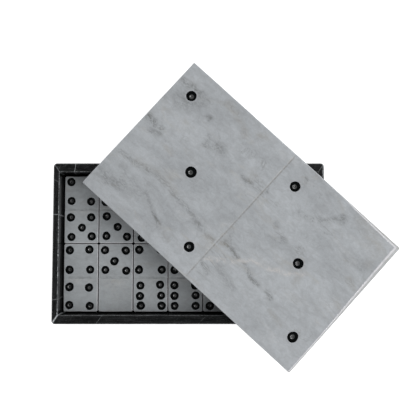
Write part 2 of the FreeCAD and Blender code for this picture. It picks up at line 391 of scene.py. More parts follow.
def groove(distance, size):
    """How deep a score is at a distance from its middle."""
    half_width, depth = size
    return depth * (1 - smooth(0.55 * half_width, half_width, abs(distance)))


# In a domino's score: how strongly painted shade darkens its bottom, and how strongly a painted highlight
# lightens its near edge
SCORE_SHADE = 0.5
SCORE_HIGHLIGHT = 0.5


def domino_stone(name, centre, half, pips, lot, luck):
    """A domino's tile: eased all round, scored across the middle, with drilled pips."""
    shape = Shape()
    height = 2 * half.z
    marks_y = [TILE_SCORE[0] * i / 4 for i in range(-4, 5)]
    outline = stations(half.x, half.y, TILE_CORNER, step=3.6, extra_y=marks_y)
    seed = luck.uniform(0, 100)

    def chipped(inset):
        """The sides wander a little, and the corners are knocked."""
        def at(station):
            sx, sy, cx, cy = station
            wander = 0.16 * unevenness(sx * half.x, sy * half.y, seed, 9)
            knocked = 0.35 * abs(cx * cy) * unevenness(sx * 40, sy * 40, seed + 5, 7)
            return inset + wander + knocked, inset + wander + knocked
        return at

    rings = []
    for inset, rise, wear_and_highlight in eased(TILE_EASE, True):
        corner = max(TILE_CORNER - inset, 0.3)
        rings.append(ring(shape, outline, half.x, half.y, corner, chipped(inset),
                          lambda x, y, s: rise, (wear_and_highlight, 0, 0, 0)))
    for inset, drop, wear_and_highlight in eased(TILE_EASE, False):
        corner = max(TILE_CORNER - inset, 0.3)
        rings.append(ring(shape, outline, half.x, half.y, corner, chipped(inset),
                          lambda x, y, s: height + drop - groove(y, TILE_SCORE),
                          (wear_and_highlight, 0, 0, 0)))
    for lower, upper in zip(rings, rings[1:]):
        shape.bridge(lower, upper)
    shape.fan(rings[0], shape.add(0, 0, 0))

    top = rings[-1]
    chains = []
    for mark in marks_y:
        ends = [next(i for i, s in zip(top, outline) if s[2] == side
                     and abs(s[1] * (half.y - TILE_CORNER) - mark) < 1e-6) for side in (-1, 1)]
        (x0, y0, z0), (x1, _, _) = shape.points[ends[0]], shape.points[ends[1]]
        # The score's bottom is painted with shade, and its near edge with a highlight
        smudge_and_shade = SCORE_SHADE if abs(mark) < 0.9 * TILE_SCORE[0] else 0
        sawn = (0, smudge_and_shade, 0, SCORE_HIGHLIGHT if mark == marks_y[0] else 0)
        between = [shape.add(mix(x0, x1, k / 6), y0, z0, sawn) for k in range(1, 6)]
        chains.append([ends[0]] + between + [ends[1]])
    holes = [(drill(shape, pip, height, TILE_PIP_DEPTH), pip) for pip in pips]
    shape.fill(top, chains, holes, [])
    shape.build(
        f"stone_{name}", f"domino_{name}", DOMINO_MARBLE, [f"tile_{name}"],
        Matrix.Translation(centre - Vector((0, 0, half.z))), lot,
    )


def domino(tile):
    """One domino: its stone, and the enamel in its pips, which sit a little unevenly."""
    name = tile.removeprefix("tile_")
    luck = random.Random(f"domino {name}")
    lo, hi = box_mm(tile)
    centre, half = (lo + hi) / 2, (hi - lo) / 2
    lot = Vector((luck.uniform(0, 900), luck.uniform(0, 900), luck.uniform(0, 900)))
    pips = []
    off_marks = OFF_THE_MARK.get(name, [])
    circles = pip_circles(f"pips_{name}") if f"pips_{name}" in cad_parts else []
    for number, (place, radius) in enumerate(circles):
        by_hand = Vector((luck.uniform(-0.22, 0.22), luck.uniform(-0.22, 0.22), 0))
        size = radius * luck.uniform(0.98, 1.04)
        if number < len(off_marks):
            by_hand += Vector(off_marks[number]).to_3d()
        drilled = place - centre + by_hand
        margin = TILE_EASE + 1.03 * size + PIP_TO_EDGE
        drilled.x = min(max(drilled.x, margin - half.x), half.x - margin)
        drilled.y = min(max(drilled.y, margin - half.y), half.y - margin)
        pips.append(Pip(drilled, size, luck, STRUCK_TWICE.get((name, number))))
    domino_stone(name, centre, half, pips, lot, luck)
    if not pips:
        return
    filling = Shape()
    for pip in pips:
        enamel(filling, pip, 2 * half.z, TILE_PIP_DEPTH, TILE_DIMPLE)
    filling.build(
        f"enamel_{name}", f"domino_{name}", PIP_ENAMEL, [f"pips_{name}"],
        Matrix.Translation(centre - Vector((0, 0, half.z))), lot,
    )


# ---------------------------------------------------------------------------------------
# Lid
# ---------------------------------------------------------------------------------------

# Marks in the lid's marble: kind, strength, width and points along and across the lid, in mm
LID_VEINS = [
    ("grey", 0.9, 3.0, [(-95, 44), (-88, 44), (-80, 45)]),
    ("grey", 0.7, 7.0, [(-84, 33), (-79, 41)]),
    ("grey", 0.5, 4.0, [(-90, 33), (-86, 28)]),
    ("grey", 1.0, 3.0, [(-96, 8), (-88, 7), (-84, 7)]),
    ("grey", 0.6, 2.5, [(-88, 2), (-82, 4)]),
    ("grey", 0.9, 2.0, [(-64, 36), (-63, 36)]),
    ("grey", 0.8, 1.6, [(-55, 26), (-54, 26)]),
    ("grey", 0.6, 4.0, [(-52, 22), (-47, 24), (-41, 25)]),
    ("warm", 0.6, 2.5, [(-60, 53), (-40, 47), (-36, 44)]),
    ("warm", 0.7, 2.5, [(-28, 51), (-24, 53)]),
    ("grey", 0.8, 2.2, [(-17, 21), (-14, 20), (-10, 22)]),
    ("warm", 0.5, 3.0, [(-14, 28), (-12, 24)]),
    ("grey", 1.0, 1.3, [(-47, -40), (-43, -42), (-38, -43)]),
    ("grey", 0.5, 1.5, [(-60, -34), (-47, -40)]),
    ("warm", 0.4, 1.5, [(-38, -43), (-25, -48)]),
    ("grey", 0.6, 2.0, [(-94, -24), (-79, -23), (-61, -19), (-43, -21), (-28, -22), (-14, -26), (-3, -26)]),
    ("warm", 0.4, 3.0, [(-80, -21), (-62, -17), (-45, -19)]),
    ("grey", 0.6, 5.0, [(-93, -44), (-86, -45), (-77, -41)]),
    ("grey", 0.4, 4.0, [(-84, -32), (-72, -34), (-62, -38)]),
    ("grey", 0.9, 1.8, [(4, -22), (11, -22), (19, -24)]),
    ("warm", 0.7, 2.4, [(-8, -27), (0, -26), (6, -22)]),
    ("grey", 0.9, 1.7, [(25, -24), (30, -26), (35, -28), (41, -28)]),
    ("grey", 0.9, 1.6, [(49, -27), (54, -29)]),
    ("grey", 0.6, 1.4, [(2, -44), (6, -45), (10, -46)]),
    ("grey", 0.35, 4.0, [(14, -38), (24, -40), (30, -42)]),
    ("pale", 1.0, 1.4, [(-1, -42), (10, -33), (18, -28), (25, -20), (33, -16), (41, -14), (52, -8),
                        (60, -1)]),
    ("grey", 0.9, 3.2, [(54, 47), (55, 46)]),
    ("grey", 0.6, 2.0, [(52, 43), (46, 38), (38, 31), (30, 29)]),
    ("grey", 0.8, 1.6, [(1, 26), (2, 25)]),
    ("grey", 0.5, 2.0, [(22, 12), (24, 11)]),
    ("grey", 0.5, 2.0, [(32, 8), (35, 7)]),
    ("grey", 0.7, 1.3, [(16, 50), (18, 49)]),
    ("warm", 0.5, 3.0, [(52, -3), (58, -4), (60, -10)]),
    ("warm", 0.5, 6.0, [(66, 55), (74, 53), (84, 49)]),
    ("warm", 0.4, 3.0, [(84, 50), (89, 40), (89, 34)]),
    ("warm", 0.6, 2.5, [(86, 18), (93, 15)]),
    ("warm", 0.6, 2.5, [(89, 1), (94, -2)]),
    ("grey", 0.4, 3.0, [(74, 27), (82, 30), (88, 29)]),
    ("warm", 0.5, 2.0, [(60, -36), (72, -38)]),
]
VEIN_MARK = {"grey": 1, "warm": 2, "pale": 3}

# The lid's pips came out a little wider than drawn, one of them (by number) more than the
# rest, and one was struck twice. Those on its right half are a little off their marks.
LID_PIP_GROWTH = 1.04
LID_PIP_LARGE = (4, 1.13)
LID_STRUCK_TWICE = {0: 80}
LID_PIPS_OFF = Vector((-0.5, -0.45, 0))


def vein_marks(x, y):
    """How strongly the lid's veins and smudges show at a place on its top."""
    found = [0.0, 0.0, 0.0, 0.0]
    here = Vector((x, y))
    here += Vector((noise.noise(Vector((x / 6, y / 6, 3))), noise.noise(Vector((x / 6, y / 6, 9)))))
    for kind, strength, width, line in LID_VEINS:
        reach = 1.5 * width + 0.6
        if not (min(p[0] for p in line) - reach < x < max(p[0] for p in line) + reach):
            continue
        nearest = reach
        for a, b in zip(line, line[1:]):
            share = geometry.intersect_point_line(here, Vector(a), Vector(b))[1]
            clamped = Vector(a).lerp(Vector(b), min(max(share, 0), 1))
            nearest = min(nearest, (here - clamped).length)
        mark = VEIN_MARK[kind]
        found[mark] = max(found[mark], strength * (1 - smooth(0, reach, nearest)))
    return tuple(found)


# How strongly painted shade darkens the bevel between its crease, which has a painted highlight, and its
# foot
BEVEL_SHADE = 0.8
# Where the lid's unevenness and its stone are taken from
LID_SEED = 17.0
LID_LOT = Vector((0, 0, 0))


def lid_bevel(station):
    """How wide the polished bevel is on the x and y sides. It is ground by hand: widest at
    the far right corner, and no more than eased elsewhere."""
    sx, sy = station[:2]
    width_x = mix(BEVEL_START, LID_BEVEL[0], smooth(-0.6, 1, sy)) if sx > 0.99 else LID_EASE
    width_y = mix(LID_EASE, LID_BEVEL[1], smooth(0.3, 1, sx)) if sy > 0.99 else LID_EASE
    return width_x, width_y


def lid_drop(station):
    """How far the bevel falls from the face to the side."""
    _, _, cx, cy = station
    width_x, width_y = lid_bevel(station)
    width = width_x * cx * cx + width_y * cy * cy
    return LID_EASE + 0.5 * (width - LID_EASE)


def lid_profile():
    """The slab's rings from its underside up: (inset, height, wear)."""
    def side(share, extra):
        def at(station):
            wander = 0.12 * unevenness(station[0] * 97, station[1] * 57, LID_SEED, 14)
            width_x, width_y = lid_bevel(station)
            return share * width_x + extra + wander, share * width_y + extra + wander
        return at

    rings = []
    for inset, rise, wear_and_highlight in eased(0.3, True):
        rings.append((side(0, inset), lambda x, y, s, r=rise: PLUG_DEPTH + r, wear_and_highlight))
    # On the bevel: share of its width, further inset, share of its fall, and wear mark, which here paints
    # the crease's highlight
    falls = [(0.0, 0.0, 1.0, 0.0), (0.05, 0.02, 0.88, 0.15), (0.12, 0.03, 0.78, 0.0),
             (0.6, 0.0, 0.3, 0.0), (0.66, 0.02, 0.24, 1.0), (0.82, 0.05, 0.1, 1.0),
             (0.97, 0.12, 0.01, 1.0), (1.04, 0.2, 0.0, 0.0)]
    for share, extra, fall, wear_and_highlight in falls:
        rings.append((side(share, extra), lambda x, y, s, f=fall: LID_TOP - f * lid_drop(s), wear_and_highlight))
    return rings


def lid_stone(pips):
    """The lid's slab with its rebated underside, score, drilled pips and hand-ground bevel."""
    shape = Shape()
    marks_x = [LID_SCORE[0] * i / 2 for i in range(-2, 3)]
    outline = stations(LID_HALF_X, LID_HALF_Y, LID_CORNER, step=2.5, extra_x=marks_x)

    def block_ring(inset, corner, height, wear_and_highlight):
        # The bevel's crease is painted lighter as a highlight, and the band below it darker as painted
        # shade
        def wear_and_painted_light(station):
            bevelled = smooth(0.5, BEVEL_START, max(lid_bevel(station)))
            return (wear_and_highlight * bevelled, 0, BEVEL_SHADE * (1 - wear_and_highlight) * bevelled, 0)
        return ring(shape, outline, LID_HALF_X, LID_HALF_Y, corner, inset, height, wear_and_painted_light)

    in_x, in_y = LID_HALF_X - PLUG_HALF_X, LID_HALF_Y - PLUG_HALF_Y
    rings = []
    for inset, rise, wear_and_highlight in eased(0.5, True):
        rings.append(block_ring(lambda s: (in_x + inset, in_y + inset), PLUG_CORNER,
                                lambda x, y, s: rise, wear_and_highlight))
    rings.append(block_ring(lambda s: (in_x, in_y), PLUG_CORNER, lambda x, y, s: PLUG_DEPTH, 0))
    for inset, height, wear_and_highlight in lid_profile():
        rings.append(block_ring(inset, LID_CORNER, height, wear_and_highlight))
    for lower, upper in zip(rings, rings[1:]):
        shape.bridge(lower, upper)
    shape.fan(rings[0], shape.add(0, 0, 0))

    edge = rings[-1]
    for index in edge + rings[-2]:
        x, y, z = shape.points[index]
        shape.points[index] = (x, y, z - groove(x, LID_SCORE))
        shape.marks[index] = (shape.marks[index][0],) + vein_marks(x, y)[1:]
    chains = []
    for mark in marks_x:
        ends = [next(i for i, s in zip(edge, outline) if s[3] == side
                     and abs(s[0] * (LID_HALF_X - LID_CORNER) - mark) < 1e-6) for side in (-1, 1)]
        y0, y1 = shape.points[ends[0]][1], shape.points[ends[1]][1]
        chain = [ends[0]]
        for k in range(1, 40):
            y = mix(y0, y1, k / 40)
            wander = 0.2 * min(k, 40 - k, 4) / 4 * (unevenness(0, y, LID_SEED, 11) - 0.5)
            shallow = mix(0.6, 1.0, unevenness(5, y, LID_SEED, 9))
            # The score's middle and its flank towards the lid's right end are painted darker, as painted
            # shade, and its flank towards the left end paler, as a painted highlight
            painted_light = (0, 0.45, 0.6, 0) if mark >= 0 else (0, 0, 0, mix(0.4, 1, smooth(20, 50, y)))
            depth = shallow * groove(mark, LID_SCORE)
            flank_light = painted_light if depth else (0, 0, 0, 0)
            chain.append(shape.add(mark + wander, y, LID_TOP - depth, flank_light))
        chains.append(chain + [ends[1]])
    holes = [(drill(shape, pip, LID_TOP, LID_PIP_DEPTH), pip) for pip in pips]
    shape.fill(edge, chains, holes, lid_face_points(shape, pips))
    shape.build("lid_stone", "lid", LID_MARBLE, ["lid_slab"], LID_MATRIX, LID_LOT)


def lid_face_points(shape, pips):
    """Points on the lid's face: close together where it has veins, and every third one where
    it is plain. They keep clear of the bevel, the score and the pips."""
    step = 0.8
    margin = 0.9
    made = []
    count_x, count_y = int(LID_HALF_X / step) - 1, int(LID_HALF_Y / step) - 1
    for i in range(-count_x, count_x + 1):
        for j in range(-count_y, count_y + 1):
            x, y = (i + 0.5 * (j % 2)) * step, j * step
            room_x, room_y = LID_HALF_X - abs(x), LID_HALF_Y - abs(y)
            in_bevel = (room_x < (LID_BEVEL[0] if x > 0 else LID_EASE) + margin
                        or room_y < (LID_BEVEL[1] if y > 0 else LID_EASE) + margin)
            in_score = abs(x) < LID_SCORE[0] + 0.4
            near_pip = any(math.hypot(x - p.x, y - p.y) < 1.2 * p.radius + 0.5 for p in pips)
            marks = vein_marks(x, y)
            plain = not any(marks) and (i % 3 or j % 3)
            if not (plain or in_bevel or in_score or near_pip):
                made.append(shape.add(x, y, LID_TOP, marks))
    return made


def lid():
    """The lid: its slab, and the enamel in its six pips."""
    luck = random.Random("lid")
    unturned = LID_MATRIX.inverted()
    pips = []
    for number, (place, radius) in enumerate(pip_circles("lid_pips")):
        local = unturned @ place
        if local.x > 0:
            local += LID_PIPS_OFF
        share = LID_PIP_LARGE[1] if number == LID_PIP_LARGE[0] else LID_PIP_GROWTH
        pips.append(Pip(local, share * radius, luck, LID_STRUCK_TWICE.get(number)))
    lid_stone(pips)
    filling = Shape()
    for pip in pips:
        enamel(filling, pip, LID_TOP, LID_PIP_DEPTH, LID_DIMPLE)
    filling.build("lid_enamel", "lid", PIP_ENAMEL, ["lid_pips"], LID_MATRIX, LID_LOT)


# ---------------------------------------------------------------------------------------
# Box
# ---------------------------------------------------------------------------------------


def wall_stations(inner_half, outer_half, thickness):
    """Pairs of points along a wall, on its inner face and on its outer face, as distances
    along the wall and out from the inner face. The ends are mitred and the outer corner
    is rounded."""
    across = outer_half - inner_half
    mid_u, mid_v = outer_half - BOX_CORNER, thickness - BOX_CORNER
    a = across**2 + thickness**2
    b = across * (inner_half - mid_u) - thickness * mid_v
    c = (inner_half - mid_u) ** 2 + mid_v**2 - BOX_CORNER**2
    share = (-b + math.sqrt(b * b - a * c)) / a
    mitre = (inner_half + share * across, share * thickness)
    last = math.atan2(mitre[1] - mid_v, mitre[0] - mid_u)
    beside = last + SEAM / BOX_CORNER
    straight = inner_half - 2.0
    outer = [(straight, thickness), (mid_u, thickness)]
    for angle in [mix(math.pi / 2, beside, i / 4) for i in range(1, 5)] + [last]:
        outer.append((mid_u + BOX_CORNER * math.cos(angle), mid_v + BOX_CORNER * math.sin(angle)))
    steps = len(outer) - 2
    inner = [mix(straight, inner_half - SEAM, k / steps) for k in range(steps + 1)]
    end = [((u, 0.0), p) for u, p in zip(inner + [inner_half], outer)]
    middle = [((u, 0.0), (u, thickness)) for u in spread(straight, 2.0, ())]
    mirrored = [((-i[0], i[1]), (-o[0], o[1])) for i, o in reversed(end)]
    return mirrored + middle + end


def wall_section(thickness, height, arris, ease, inner_wear_and_highlight, crease_highlight, outer_wear_and_highlight):
    """(distance out, height, wear mark) from the foot of the inner face over the rim. The
    arrises' wear marks paint them lighter, as wear and as painted highlights, and a painted
    highlight line can run along the rim too, a crease's distance in from the outer face."""
    section = [(0.0, 0.0, 0.0), (0.0, height / 2, 0.0)]
    section += [(inset, height + drop, wear_and_highlight * inner_wear_and_highlight) for inset, drop, wear_and_highlight in eased(arris, False)]
    section += [(arris + 0.08, height, 0.0), (thickness / 2, height, 0.0)]
    for side, wear_and_highlight in [(CREASE_REACH, 0.0), (0.0, crease_highlight), (-CREASE_REACH, 0.0)]:
        section.append((thickness - CREASE - side, height, wear_and_highlight))
    over = reversed(eased(ease, False))
    section += [(thickness - inset, height + drop, wear_and_highlight * outer_wear_and_highlight) for inset, drop, wear_and_highlight in over]
    section += [(thickness, 0.15, 0.0), (thickness - 0.12, 0.0, 0.0)]
    return section


def wall(name, node, quarter, inner_half, outer_half, cavity, thickness, lot):
    """One wall slab, swept from mitre to mitre, with uneven arrises."""
    shape = Shape()
    floor_top = FLOOR_HI.z
    height = RIM - floor_top
    rows = []
    pairs = wall_stations(inner_half, outer_half, thickness)
    ends = {0: GLUE[name][0], len(pairs) - 1: GLUE[name][1]}
    for number, (inner, outer) in enumerate(pairs):
        u = inner[0]
        arris = INNER_ARRIS * mix(0.6, 1.5, unevenness(u, quarter * 7, 3, 6))
        ease = BOX_EASE * mix(1.0, 1.3, unevenness(u, quarter * 7, 8, 11))
        glue = ends.get(number, 0.0)
        row = []
        for out, z, wear_and_highlight in wall_section(thickness, height, arris, ease, *ARRIS_WEAR_AND_HIGHLIGHTS[name]):
            t = out / thickness
            x, y = mix(inner[0], outer[0], t), mix(inner[1], outer[1], t)
            row.append(shape.add(x, y, z, (wear_and_highlight, DUST[name], 0, glue)))
        rows.append(row)
    for left, right in zip(rows, rows[1:]):
        shape.bridge(left, right)
    shape.faces += [tuple(rows[0]), tuple(rows[-1])]
    turn = Matrix.Rotation(math.radians(90 * quarter), 4, "Z")
    matrix = turn @ Matrix.Translation((0, cavity, floor_top))
    shape.build(name, "box", BLACK_MARBLE, [node], matrix, lot)


def box_floor():
    """The floor slab, eased underneath and along its top edge, where it meets the walls."""
    shape = Shape()
    height = FLOOR_HI.z - FLOOR_LO.z
    outline = stations(FLOOR_HI.x, FLOOR_HI.y, BOX_CORNER, step=6)
    profile = eased(BOX_EASE, True) + [(0, height - 0.15, 0.0), (0.12, height, 0.0)]
    rings = []
    for inset, level, wear_and_highlight in profile:
        rings.append(ring(shape, outline, FLOOR_HI.x, FLOOR_HI.y, BOX_CORNER - inset,
                          lambda s: (inset, inset), lambda x, y, s: level, (wear_and_highlight, 0, 0, 0)))
    for lower, upper in zip(rings, rings[1:]):
        shape.bridge(lower, upper)
    shape.fan(rings[0], shape.add(0, 0, 0))
    shape.fan(rings[-1], shape.add(0, 0, height))
    shape.build("floor_slab", "box", BLACK_MARBLE, ["box_floor"],
                Matrix.Translation((0, 0, FLOOR_LO.z)), Vector((0, 5000, 0)))


# Walls by quarter turns from the far one, and how far along the black marble each is cut
WALL_LOTS = {"wall_far": 0, "wall_left": 1000, "wall_near": 2000, "wall_right": 3000}

# How each wall's inner arris, crease line and outer arris are painted lighter, as wear and as
# painted highlights (the crease line is only a painted highlight), how much stone dust it holds,
# and how much pale glue shows at its two mitres, of which only the near left one is badly closed
ARRIS_WEAR_AND_HIGHLIGHTS = {
    "wall_far": (0.6, 0.0, 0.3), "wall_left": (1.0, 0.0, 0.3),
    "wall_near": (0.3, 0.0, 0.25), "wall_right": (0.6, 1.0, 1.0),
}
DUST = {"wall_far": 0.6, "wall_left": 0.5, "wall_near": 0.35, "wall_right": 0.6}
GLUE = {
    "wall_far": (0.3, 0.2), "wall_left": (1.0, 0.2),
    "wall_near": (0.25, 1.0), "wall_right": (0.3, 0.25),
}
# How wide a mitre's glue is, and a painted highlight line's place in from the outer face and reach
SEAM = 0.8
CREASE = 1.35
CREASE_REACH = 0.3

# Veins across the black slabs, which wobble by so many mm: slab, place along it, slant,
# half-width and strength
VEIN_WOBBLE = 1.6
BLACK_VEINS = [
    ("wall_far", -83.2, 0.2, 0.22, 0.9),
    ("wall_left", 20.6, 0.05, 0.35, 0.8),
    ("wall_left", -40.2, -0.1, 0.25, 0.5),
    ("wall_left", 44.0, 0.5, 0.2, 0.35),
    ("wall_near", 62.0, 0.7, 0.2, 0.3),
    ("wall_near", -35.0, -0.4, 0.3, 0.7),
    ("wall_far", 48.0, -0.6, 0.25, 0.6),
    ("wall_right", 12.0, 0.4, 0.25, 0.7),
]


def box_walls():
    for quarter, name in enumerate(WALL_LOTS):
        lot = Vector((WALL_LOTS[name], 0, 0))
        if quarter % 2 == 0:
            wall(name, "long_walls", quarter, CAVITY_X, FLOOR_HI.x, CAVITY_Y, LONG_WALL, lot)
        else:
            wall(name, "end_walls", quarter, CAVITY_Y, FLOOR_HI.y, CAVITY_X, END_WALL, lot)


# ---------------------------------------------------------------------------------------
# Materials
# ---------------------------------------------------------------------------------------


class Graph:
    """A material's nodes, with short ways to add and join them."""

    def __init__(self, name):
        self.material = bpy.data.materials.new(name)
        self.material.use_nodes = True
        self.tree = self.material.node_tree
        self.shader = self.tree.nodes["Principled BSDF"]

    def node(self, kind, inputs, **settings):
        made = self.tree.nodes.new("ShaderNode" + kind)
        for key, value in settings.items():
            setattr(made, key, value)
        for key, value in inputs.items():
            self.put(made.inputs[key], value)
        return made

    def put(self, socket, value):
        if isinstance(value, bpy.types.NodeSocket):
            self.tree.links.new(value, socket)
        else:
            socket.default_value = value

    def math(self, operation, *values, clamp=False):
        made = self.node("Math", dict(enumerate(values)), operation=operation, use_clamp=clamp)
        return made.outputs[0]

    def ramp(self, value, low, high, to_low=0.0, to_high=1.0):
        """An S-curve from to_low to to_high as value goes from low to high."""
        made = self.node("MapRange", {0: value, 1: low, 2: high, 3: to_low, 4: to_high},
                         interpolation_type="SMOOTHSTEP")
        return made.outputs[0]

    def blend(self, factor, a, b, kind="MIX"):
        made = self.node("Mix", {0: factor, 6: a, 7: b}, data_type="RGBA", blend_type=kind)
        return made.outputs[2]

    def noise(self, vector, size, detail=4.0, rough=0.55, warp=0.0, stretch=(1, 1, 1), turn=0.0):
        """Noise whose features are about size mm, drawn out by stretch and turned in plan."""
        mapped = self.node("Mapping", {
            "Vector": vector, "Rotation": (0, 0, math.radians(turn)),
            "Scale": tuple(1 / (size * s) for s in stretch),
        })
        made = self.node("TexNoise", {
            "Vector": mapped.outputs[0], "Scale": 1.0, "Detail": detail,
            "Roughness": rough, "Distortion": warp,
        })
        return made.outputs[0]

    def attributes(self):
        """The stone coordinates, and the four marks."""
        stone = self.node("Attribute", {}, attribute_name="stone").outputs["Vector"]
        marks = self.node("Attribute", {}, attribute_name="marks")
        split = self.node("SeparateColor", {0: marks.outputs["Color"]})
        return stone, split.outputs[0], split.outputs[1], split.outputs[2], marks.outputs["Alpha"]

    def finish(self, colour, roughness, height, bump_mm):
        """Puts colour, roughness and a bump of the given depth on the shader."""
        self.put(self.shader.inputs["Base Color"], colour)
        self.put(self.shader.inputs["Roughness"], roughness)
        bump = self.node("Bump", {"Strength": 1.0, "Distance": bump_mm * MM, "Height": height})
        self.put(self.shader.inputs["Normal"], bump.outputs[0])
        return self.material


def grey(value, tint=(1.0, 1.0, 1.0)):
    return (value * tint[0], value * tint[1], value * tint[2], 1.0)


COOL = (0.955, 1.0, 1.035)
WARM = (1.05, 1.0, 0.9)


def white_marble(name, light, dark, tint, streaks, veins_below, wear_and_highlight_colour):
    """Polished pale grey marble: soft clouds, long faint streaks, broken veins, the lid's
    marked smudges, painted shade and highlights in the scores and on the lid's bevel, crystal
    grain and pits, and arrises painted lighter, as dust and wear and as painted highlights."""
    g = Graph(name)
    stone, wear_and_highlight, smudge_and_shade, stain_and_shade, pale = g.attributes()

    clouds = g.noise(stone, 26, 5, 0.6, 0.6, (1.6, 0.8, 1), 12)
    colour = g.blend(g.ramp(clouds, 0.32, 0.68), grey(dark, tint), grey(light, tint))
    drawn = g.noise(stone, 9, 6, 0.65, 1.2, (3.2, 0.55, 1), 14)
    colour = g.blend(g.ramp(drawn, 0.45, 0.8, 0, streaks), colour, grey(dark * 0.82, tint))
    milky = g.noise(stone, 12, 4, 0.6, 0.8, (2.2, 0.7, 1), 18)
    colour = g.blend(g.ramp(milky, 0.55, 0.8, 0, 0.5), colour, grey(light * 1.12, (0.98, 1, 1.02)))
    warmth = g.noise(stone, 17, 5, 0.6, 1.0, (1.8, 0.6, 1), 8)
    colour = g.blend(g.ramp(warmth, 0.56, 0.74, 0, 0.35), colour, grey(dark * 0.98, WARM))

    course = g.noise(stone, 30, 7, 0.6, 1.5, (2.4, 0.9, 1), 20)
    line = g.math("ABSOLUTE", g.math("SUBTRACT", course, 0.5))
    broken = g.ramp(g.noise(stone, 14, 3, 0.5), 0.5, 0.68)
    mottle = g.ramp(g.noise(stone, 4.5, 6, 0.75, 0.8, (1.3, 0.85, 1), 14), 0.33, 0.67)
    colour = g.blend(0.75, colour, g.blend(mottle, grey(0.445), grey(0.55, (0.99, 1, 1.01))), "OVERLAY")
    vein = g.math("MULTIPLY", g.ramp(line, 0.0, veins_below, 1, 0), broken)
    colour = g.blend(g.math("MULTIPLY", vein, 0.5), colour, grey(dark * 0.6, (0.98, 1, 0.98)))

    ragged = g.noise(stone, 2.2, 7, 0.8, 0.8, (1.7, 0.8, 1), 12)
    spotted = g.ramp(ragged, 0.42, 0.58)
    # Grey smudges and veins, and painted shade in the scores
    dirt_and_shade = g.math("MULTIPLY", smudge_and_shade, g.math("MULTIPLY_ADD", spotted, 0.8, 0.2), clamp=True)
    colour = g.blend(g.math("MULTIPLY", dirt_and_shade, 0.75), colour, grey(dark * 0.34, (1.0, 1.03, 0.98)))
    # Warm stains, and painted shade on the lid's bevel and in its score
    rust_and_shade = g.math("MULTIPLY", stain_and_shade, g.math("MULTIPLY_ADD", spotted, 0.7, 0.3), clamp=True)
    colour = g.blend(g.math("MULTIPLY", rust_and_shade, 0.7), colour, grey(dark * 0.72, WARM))
    # Pale veins, and painted highlights on the near edge of the dominoes' scores and on one flank of the
    # lid's score
    chalk_and_highlight = g.math("MULTIPLY", pale, spotted, clamp=True)
    colour = g.blend(g.math("MULTIPLY", chalk_and_highlight, 0.6), colour, grey(light * 1.25, (1.05, 1.0, 0.96)))

    grain = g.noise(stone, 0.9, 3, 0.6)
    colour = g.blend(0.2, colour, g.blend(g.ramp(grain, 0.3, 0.7), grey(0.42), grey(0.58)), "OVERLAY")
    cells = g.node("TexVoronoi", {"Vector": stone, "Scale": 0.32, "Randomness": 1.0})
    pit = g.math("MULTIPLY", g.ramp(cells.outputs["Distance"], 0.05, 0.11, 1, 0),
                 g.ramp(g.noise(stone, 23, 2), 0.58, 0.72, 0, 0.6))
    colour = g.blend(g.math("MULTIPLY", pit, 0.7), colour, grey(dark * 0.45))
    # Arrises painted lighter, partly as wear and partly as a painted highlight; on the lid's bevel crease,
    # only as a painted highlight
    wear_and_painted_light = g.math("MULTIPLY", wear_and_highlight, g.ramp(g.noise(stone, 3.5, 4, 0.7), 0.25, 0.55, 0.3, 1.0))
    colour = g.blend(g.math("MULTIPLY", wear_and_painted_light, 0.85), colour, grey(wear_and_highlight_colour, (1.0, 0.985, 1.02)))

    roughness = g.ramp(g.noise(stone, 8, 5, 0.65), 0.25, 0.75, 0.09, 0.16)
    roughness = g.math("ADD", roughness, g.math("MULTIPLY", pit, 0.3))
    height = g.math("SUBTRACT", g.math("MULTIPLY_ADD", grain, 0.25, g.noise(stone, 14, 3)), pit)
    return g.finish(colour, roughness, height, 0.01)


def vein_mask(g, stone, slab, along, slant, half_width, strength, wobble):
    """Where a thin vein crosses a black slab. Its slant turns it on the rim, and leans it a
    little less on the faces."""
    split = g.node("SeparateXYZ", {0: stone})
    below_rim = g.math("SUBTRACT", split.outputs[2], RIM - FLOOR_HI.z)
    across = g.math("MULTIPLY_ADD", below_rim, 0.6, split.outputs[1])
    line = g.math("MULTIPLY_ADD", across, -slant, split.outputs[0])
    line = g.math("ADD", line, g.math("MULTIPLY", wobble, VEIN_WOBBLE))
    middle = WALL_LOTS[slab] + along + VEIN_WOBBLE / 2
    off = g.math("ABSOLUTE", g.math("SUBTRACT", line, middle))
    return g.ramp(off, 0.3 * half_width, 1.6 * half_width, strength, 0)


